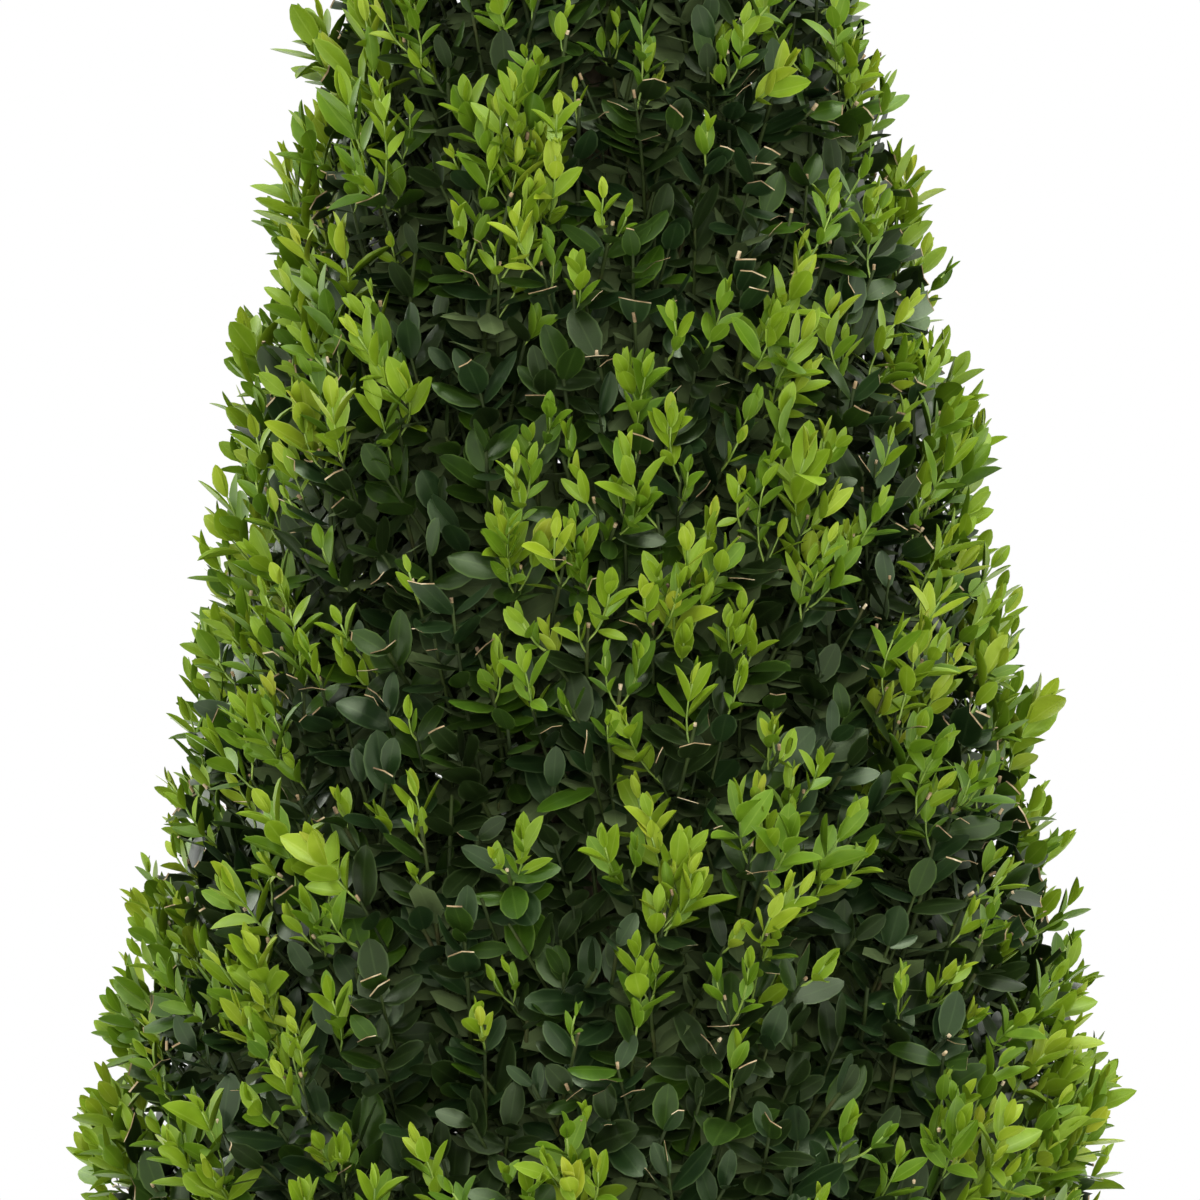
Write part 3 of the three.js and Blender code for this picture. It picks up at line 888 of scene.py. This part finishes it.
dice = np.random.default_rng(8)
start = first_pair * dice.uniform(0.3, 2.2, shoot_count)
start[~was_cut] = 0.8
leafiness = dice.choice([1.0, 0.9, 0.5], shoot_count, p=[0.66, 0.26, 0.08])
parts = []
for layer in range(leaf_layers):
    for pair in range(pairs_per_shoot):
        closed = ~was_cut & (pair == 0)
        distance = start + pair * pair_spacing * dice.uniform(0.85, 1.15, shoot_count)
        share = 1 - (distance + 3.5 * layer) / (2 * upright_length)
        turn = first_turn + pair * np.pi / 2 + dice.normal(0, 0.22 + 0.3 * layer, shoot_count)
        spread = dice.uniform(28, 68, shoot_count) + min(5 * pair, 16) + 8 * layer
        spread = np.where(shoot_z > tip_height - 55, 0.55 * spread, spread)
        spread = np.radians(np.where(closed, dice.uniform(12, 30, shoot_count), spread))
        place, way = on_curves(shoot_controls, share)
        foot, blade, face = grow_pairs(place, way, outward, turn, spread, dice, 0.3, 0.2)
        count = len(foot)
        leaf_size = dice.uniform(0.64, 1.08, count) * np.tile(shoot_size, 2)
        leaf_size *= np.where(np.tile(closed, 2), 0.8, 1 - 0.1 * layer)
        leaves = dict(
            foot=foot,
            blade=blade,
            face=face,
            length=old_leaf_length * leaf_size,
            width=old_leaf_width * leaf_size * dice.uniform(0.86, 1.14, count),
            fold=np.radians(dice.normal(-5, 9, count)),
            curl=dice.normal(-0.08, 0.09, count),
            pair=np.full(count, pair),
            layer=np.full(count, layer),
            shoot=np.tile(np.arange(shoot_count), 2),
        )
        parts.append(chosen(leaves, dice.uniform(0, 1, count) < np.tile(leafiness, 2)))
old = put_together(parts)


def past_shears(points, allowance):
    return np.hypot(points[:, 0], points[:, 1]) - shear(points[:, 2]) - allowance


# How far along its left edge, midrib and right edge each leaf is cut.
allowance = np.abs(dice.normal(0, 3.2, len(old["foot"]))) + 0.6
allowance += 8 * (dice.uniform(0, 1, len(allowance)) < 0.02)
for across_stem, height in stray_places:
    away = np.hypot(old["foot"][:, 0] - across_stem, old["foot"][:, 2] - height)
    allowance[(away < 14) & (np.abs(old["foot"][:, 1]) < 50)] += 15
at_foot = past_shears(old["foot"], allowance)
side = np.cross(old["face"], old["blade"])
for place, edge in (("left", -0.8), ("middle", 0), ("right", 0.8)):
    end = old["foot"] + old["blade"] * old["length"][:, None]
    end = end + side * (edge * old["width"] / 2)[:, None]
    at_end = past_shears(end, allowance)
    share = np.where(at_end > 0, -at_foot / np.maximum(at_end - at_foot, 1e-6), 1.0)
    old[place] = np.clip(share, 0, 1)
for place in ("left", "right"):
    old[place] = np.clip(old[place], old["middle"] - 0.22, old["middle"] + 0.22)
tips = old["foot"] + old["blade"] * (old["length"] * old["middle"])[:, None]
stands = (at_foot < 0) & (old["middle"] > 0.3) & (old["foot"][:, 2] > foot_height)
stands &= (tips[:, 2] > foot_height - 4) & (tips[:, 2] < tip_height)
old = chosen(old, stands)


def crosses(one, other):
    """Whether a line along one leaf, or near one of its edges, passes through
    the other's blade. Both hold the leaves pair by pair."""
    other_side = np.cross(other["face"], other["blade"])
    side = np.cross(one["face"], one["blade"])
    hit = np.zeros(len(side), bool)
    for edge, start, end in ((0, 0.1, 1.0), (-0.75, 0.25, 0.85), (0.75, 0.25, 0.85)):
        rim = one["foot"] + side * (edge * one["width"] / 2)[:, None]
        a = rim + one["blade"] * (start * one["length"])[:, None]
        b = rim + one["blade"] * (end * one["length"])[:, None]
        above_a = np.sum((a - other["foot"]) * other["face"], axis=1)
        above_b = np.sum((b - other["foot"]) * other["face"], axis=1)
        gone = above_a / np.where(above_a == above_b, 1, above_a - above_b)
        at = a + (b - a) * gone[:, None] - other["foot"]
        along = np.sum(at * other["blade"], axis=1) / other["length"]
        off = np.abs(np.sum(at * other_side, axis=1)) / (other["width"] / 2)
        inside = (along > 0.08) & (along < 1) & (off < outline_width(along))
        hit |= (above_a * above_b < 0) & inside
    return hit


# No old leaf grows through another leaf; new leaves are not tested against
# one another. The new leaves stay, then the outermost of the old, and the
# second layer fills the room that is left.
blades = [
    {key: leaves[key] for key in ("foot", "blade", "face", "length", "width")}
    for leaves in (new, old)
]
blades = put_together(blades)
centres = blades["foot"] + blades["blade"] * (blades["length"] / 2)[:, None]
depth = -past_shears(centres, 0) + dice.uniform(0, 4, len(centres))
depth[: len(new["foot"])] -= 1000
depth[len(new["foot"]) :] += 100 * old["layer"]
finder = mathutils.kdtree.KDTree(len(centres))
for number, centre in enumerate(centres):
    finder.insert(centre, number)
finder.balance()
near = [
    (number, found)
    for number, centre in enumerate(centres)
    for _, found, _ in finder.find_range(centre, 14)
    if depth[number] < depth[found]
]
first, second = np.array(near).T
both_new = second < len(new["foot"])
first, second = first[~both_new], second[~both_new]
one, other = chosen(blades, first), chosen(blades, second)
meets = crosses(one, other) | crosses(other, one)
first, second = first[meets], second[meets]
order = np.argsort(depth[first])
keeps = np.ones(len(centres), bool)
for a, b in zip(first[order], second[order]):
    if keeps[a]:
        keeps[b] = False
old = chosen(old, keeps[len(new["foot"]) :])
is_cut = old["middle"] < 0.93
is_near = old["pair"] < 4

# Waxy, leathery and dark, much the same tone all along a shoot. A few leaves
# have died and dried to brown.
old_leaf_tones = [
    ("blackish", "#141e0a", "#1a280d", "#4d5f36", 0.4, 0.33),
    ("bluish", "#152411", "#1d3014", "#53683f", 0.58, 0.32),
    ("deep", "#1b2c0b", "#263b0f", "#56702e", 0.42, 0.258),
    ("mid", "#29420c", "#385411", "#688433", 0.42, 0.09),
    ("dried", "#54421f", "#775f33", "#8a7447", 0.1, 0.002),
]
shares = [tone[-1] for tone in old_leaf_tones]
shoot_tone = dice.choice(4, shoot_count, p=np.array(shares[:4]) / sum(shares[:4]))
# In the dark furrows the shoots get only the two darkest tones, and fewer leaves there get a tone of
# their own: painted shade on top of the furrows' own shade.
shoot_tone = np.where(shoot_darkness > 0.3, shoot_tone % 2, shoot_tone)
tone_of = shoot_tone[old["shoot"]]
apart = dice.uniform(0, 1, len(is_cut)) < 0.35 * (1 - shoot_darkness[old["shoot"]])
tone_of[apart] = dice.choice(len(shares), apart.sum(), p=shares)
foliage_nodes = [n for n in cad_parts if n.startswith("foliage_")]
# The old leaves too get a pale rim along the edge, a painted highlight.
for number, (word, colour, lighter, rib_and_rim_colour, gloss, _) in enumerate(old_leaf_tones):
    skin = leaf_material("old_leaf_" + word, colour, lighter, rib_and_rim_colour, 0.13, 0.42, 0.31, gloss)
    mine = tone_of == number
    for kind, which, outline in (
        ("whole", mine & ~is_cut & is_near, full_outline),
        ("clipped", mine & is_cut, cut_outline),
    ):
        leaves = chosen(old, which)
        if len(leaves["foot"]):
            name = f"old_leaves_{word}_{kind}"
            piece = joined_leaves(name, leaves, outline, skin, kind == "clipped")
            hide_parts(*foliage_nodes)

# Further down the shoots the leaves get little sun, and are duller and paler:
# partly the pale of leaves grown in shade, and partly painted fill light that
# lifts the dark inside of the crown. Their edges get the painted rim highlight too.
skin = leaf_material("old_leaf_pale_painted_fill", "#424f30", "#54623c", "#64724b", 0.2, 0.4, 0.5, 0.2)
piece = joined_leaves("old_leaves_pale_painted_fill", chosen(old, ~is_cut & ~is_near), plain_outline, skin)
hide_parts(*foliage_nodes)

# Along each cut the leaf dries to a thin tan edge.
clipped = chosen(old, is_cut)
dry_width = dice.uniform(0.2, 0.75, len(clipped["length"]))
rim = []
for out in (0.0, 1.0):
    for edge, place in ((-1, "left"), (0, "middle"), (1, "right")):
        beyond = out * (clipped["blade"] * dry_width[:, None] + clipped["face"] * 0.25)
        half = edge * outline_width(clipped[place])
        rim.append(point_on(clipped, clipped[place], half) + beyond)
flat = np.array([0, 1, 4, 3, 1, 2, 5, 4])
count = len(clipped["foot"])
dry_edges = mesh_piece(
    "dry_leaf_edges",
    np.stack(rim, axis=1).reshape(-1, 3),
    (flat[None, :] + np.arange(count)[:, None] * 6).ravel(),
    np.full(2 * count, 4),
    dry_cut,
)
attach(dry_edges, "root")

# ---- The leaves in the shade ---------------------------------------------------------
# The inner branches keep a few small, dull leaves from earlier years, enough
# that no light shows through the middle of the crown. Their light dull green is
# partly the pale of leaves grown in shade and partly painted fill light that
# lifts the dark middle of the crown.

shade_pairs = 20
dice = np.random.default_rng(34)
branch_count = len(branch_ends)
parts = []
for pair in range(shade_pairs):
    share = np.clip(1 - 0.044 * pair - dice.uniform(0, 0.05, branch_count), 0, 1)
    place, way = on_curves([np.array(part) for part in branch_controls], share)
    out = unit(place * np.array([1, 1, 0]))
    turn = pair * np.pi / 2 + dice.uniform(-0.7, 0.7, branch_count)
    spread = np.radians(dice.uniform(45, 85, branch_count))
    foot, blade, face = grow_pairs(place, way, out, turn, spread, dice, 0.3, 0.25)
    count = len(foot)
    leaf_size = dice.uniform(0.95, 1.4, count) * np.tile(slimness(place[:, 2]), 2)
    parts.append(
        dict(
            foot=foot,
            blade=blade,
            face=face,
            length=old_leaf_length * leaf_size,
            width=old_leaf_width * leaf_size,
            fold=np.radians(dice.normal(-4, 8, count)),
            curl=dice.normal(-0.06, 0.08, count),
        )
    )
shade = put_together(parts)
shade = chosen(shade, shade["foot"][:, 2] > foot_height + 4)
# A light dull green: partly leaf colour, partly painted fill light in the dark middle of the crown.
dull_painted_fill = leaf_material("shade_leaf_painted_fill_green", "#526336", "#667746", "#768752", 0.3, 0.3, 0.55, 0.2)
joined_leaves("shade_leaves", shade, plain_outline, dull_painted_fill)

# ---- Floor, light and camera ---------------------------------------------------------
# A round, pale, matt floor; broad soft light from above and in front, as under
# an open overcast sky; and a long lens on a level camera, which takes in the
# middle of the cone.

floor_mesh = bpy.data.meshes.new("pale_floor")
ring = [2 * math.pi * i / 96 for i in range(96)]
floor_mesh.from_pydata(
    [(0.95 * math.cos(t), 0.95 * math.sin(t), 0) for t in ring], [], [list(range(96))]
)
floor = bpy.data.objects.new("pale_floor", floor_mesh)
bpy.context.scene.collection.objects.link(floor)
pale, tree, shader = new_material("pale_matt_floor")
shader.inputs["Base Color"].default_value = linear("#e6e6e3")
shader.inputs["Roughness"].default_value = 0.95
floor_mesh.materials.append(pale)

# The camera sees a white surround; the plant is lit by a dimmer one, so the
# inside of the crown stays dark.
surround = bpy.data.worlds.new("white_surround")
bpy.context.scene.world = surround
surround.use_nodes = True
tree = surround.node_tree
seen = next(n for n in tree.nodes if n.type == "BACKGROUND")
seen.inputs["Color"].default_value = (1, 1, 1, 1)
output = next(n for n in tree.nodes if n.type == "OUTPUT_WORLD")
way = add_node(tree, "ShaderNodeTexCoord")
height = add_node(tree, "ShaderNodeSeparateXYZ", [("Vector", way.outputs["Generated"])])
brightness = add_node(
    tree,
    "ShaderNodeMapRange",
    [("Value", height.outputs["Z"])],
    From_Min=-0.2,
    From_Max=0.9,
    To_Min=1.25,
    To_Max=1.7,
)
dim = add_node(
    tree,
    "ShaderNodeBackground",
    [("Strength", brightness.outputs["Result"])],
    color=(1, 1, 1, 1),
)
ray = add_node(tree, "ShaderNodeLightPath")
mix = add_node(
    tree,
    "ShaderNodeMixShader",
    [("Fac", ray.outputs["Is Camera Ray"])],
)
tree.links.new(mix.inputs[1], dim.outputs["Background"])
tree.links.new(mix.inputs[2], seen.outputs["Background"])
tree.links.new(output.inputs["Surface"], mix.outputs["Shader"])


def soft_light(name, place, target, size, power, colour):
    data = bpy.data.lights.new(name, "AREA")
    data.shape = "DISK"
    data.size = size
    data.energy = power
    data.color = linear(colour)[:3]
    light = bpy.data.objects.new(name, data)
    light.location = place
    way = [t - p for t, p in zip(target, place)]
    light.rotation_mode = "QUATERNION"
    light.rotation_quaternion = mathutils.Vector(way).to_track_quat("-Z", "Y")
    bpy.context.scene.collection.objects.link(light)


soft_light("overhead_softbox", (0.35, -0.6, 2.5), (0, 0, 0.45), 1.3, 39, "#ffffff")
soft_light("front_softbox", (0.2, -2.75, 0.8), (0, 0, 0.35), 0.9, 15, "#ffffff")
soft_light("side_softbox", (-1.9, 0.9, 1.5), (0, 0, 0.35), 1.4, 26, "#ffffff")

frame_side = 0.456
frame_centre = (-0.002, 0.0, 0.323)
camera_distance = 2.8
camera_data = bpy.data.cameras.new("camera")
camera_data.sensor_width = 36
camera_data.lens = 36 * camera_distance / frame_side
camera = bpy.data.objects.new("camera", camera_data)
camera.location = (frame_centre[0], -camera_distance, frame_centre[2])
camera.rotation_euler = (math.pi / 2, 0, 0)
bpy.context.scene.collection.objects.link(camera)
bpy.context.scene.camera = camera
bpy.context.scene.view_settings.view_transform = "Standard"
